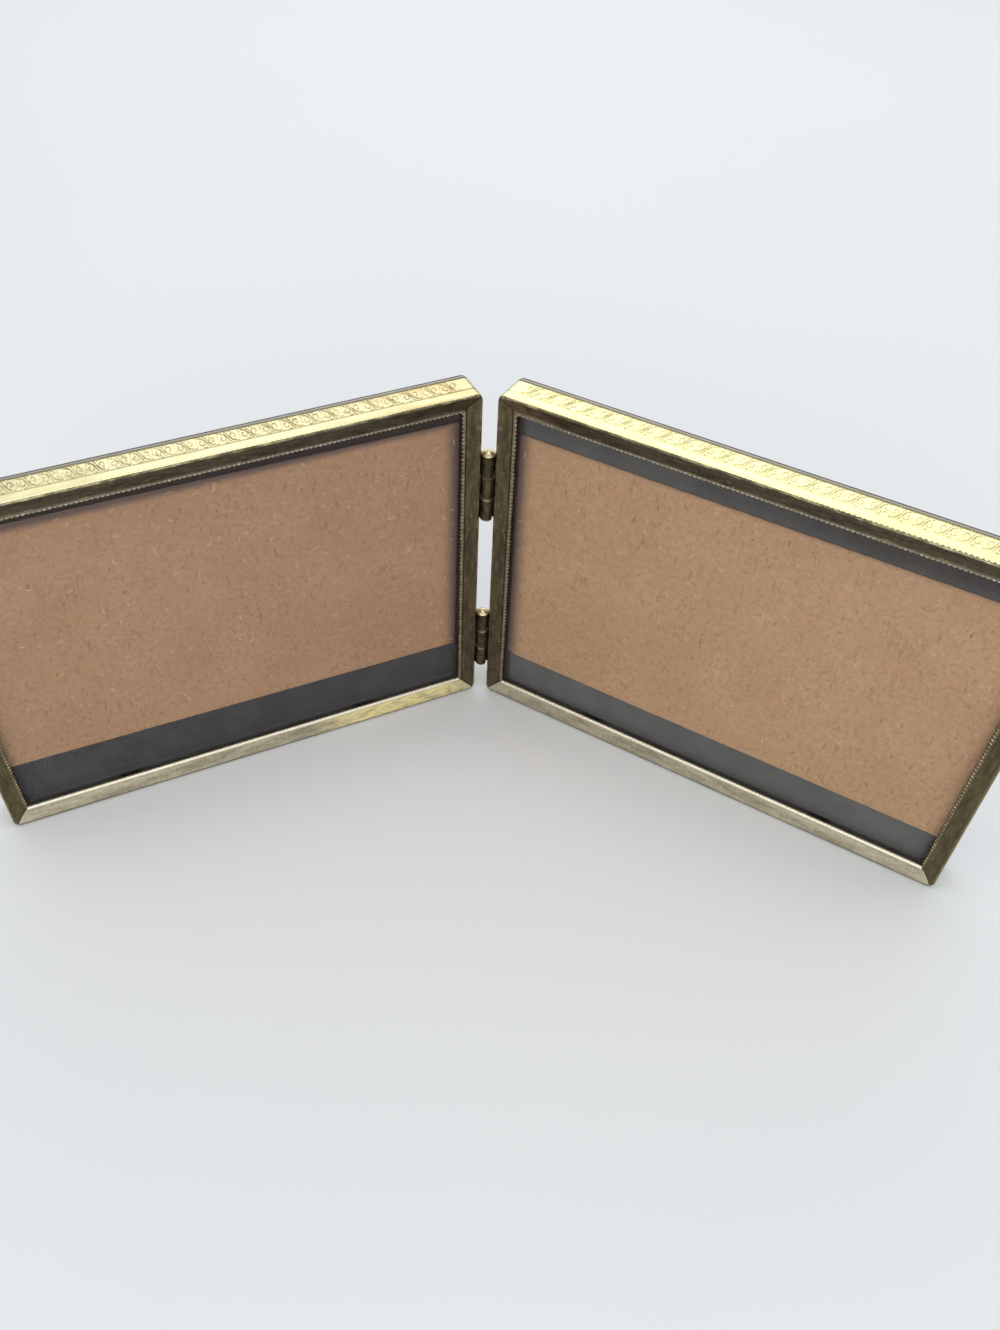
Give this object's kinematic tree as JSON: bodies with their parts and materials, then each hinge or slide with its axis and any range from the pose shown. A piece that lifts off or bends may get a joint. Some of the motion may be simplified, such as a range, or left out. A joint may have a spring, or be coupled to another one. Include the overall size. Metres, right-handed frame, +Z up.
{
  "type": "hinged double photo frame",
  "caption": "Hinged double photo frame in aged embossed brass, two landscape leaves with glass and kraft cards, standing open as a V and folding shut like a book.",
  "frame": {"origin": "middle of the bounding box on the surface the frame stands on", "axes": "+X along the width from the left leaf to the right leaf as seen from the front, +Y towards the hinges at the back of the V, +Z up"},
  "size_m": [0.2498, 0.0716, 0.0965],
  "materials": {
    "aged_brass": "embossed, aged, satin",
    "hinge_brass": "darkened, satin",
    "rivet_brass": "worn bright",
    "tab_brass": "satin",
    "key_steel": "plain",
    "glass": "clear, polished",
    "kraft_card": "matte, flecked",
    "black_board": "matte",
    "back_cloth": "short pile"
  },
  "bodies": {
    "left_leaf": {"left_top_rail": "aged_brass", "left_bottom_rail": "aged_brass", "left_hinge_stile": "aged_brass", "left_outer_stile": "aged_brass", "left_corner_keys": "key_steel", "left_glass": "glass", "left_card": "kraft_card", "left_backing_board": "black_board", "left_back_cover": "back_cloth", "left_retaining_tabs": "tab_brass", "left_hinge_rivets": "rivet_brass", "upper_hinge_left_leaf": "hinge_brass", "upper_hinge_pin": "rivet_brass", "lower_hinge_left_leaf": "hinge_brass", "lower_hinge_pin": "rivet_brass"},
    "right_leaf": {"right_top_rail": "aged_brass", "right_bottom_rail": "aged_brass", "right_hinge_stile": "aged_brass", "right_outer_stile": "aged_brass", "right_corner_keys": "key_steel", "right_glass": "glass", "right_card": "kraft_card", "right_backing_board": "black_board", "right_back_cover": "back_cloth", "right_retaining_tabs": "tab_brass", "right_hinge_rivets": "rivet_brass", "upper_hinge_right_leaf": "hinge_brass", "lower_hinge_right_leaf": "hinge_brass"}
  },
  "joints": [
    {"name": "fold", "type": "hinge", "parent": "left_leaf", "child": "right_leaf", "pos_m": [0, 0.02739, 0], "axis": [0, 0, 1], "range_deg": [-124, 60]}
  ]
}
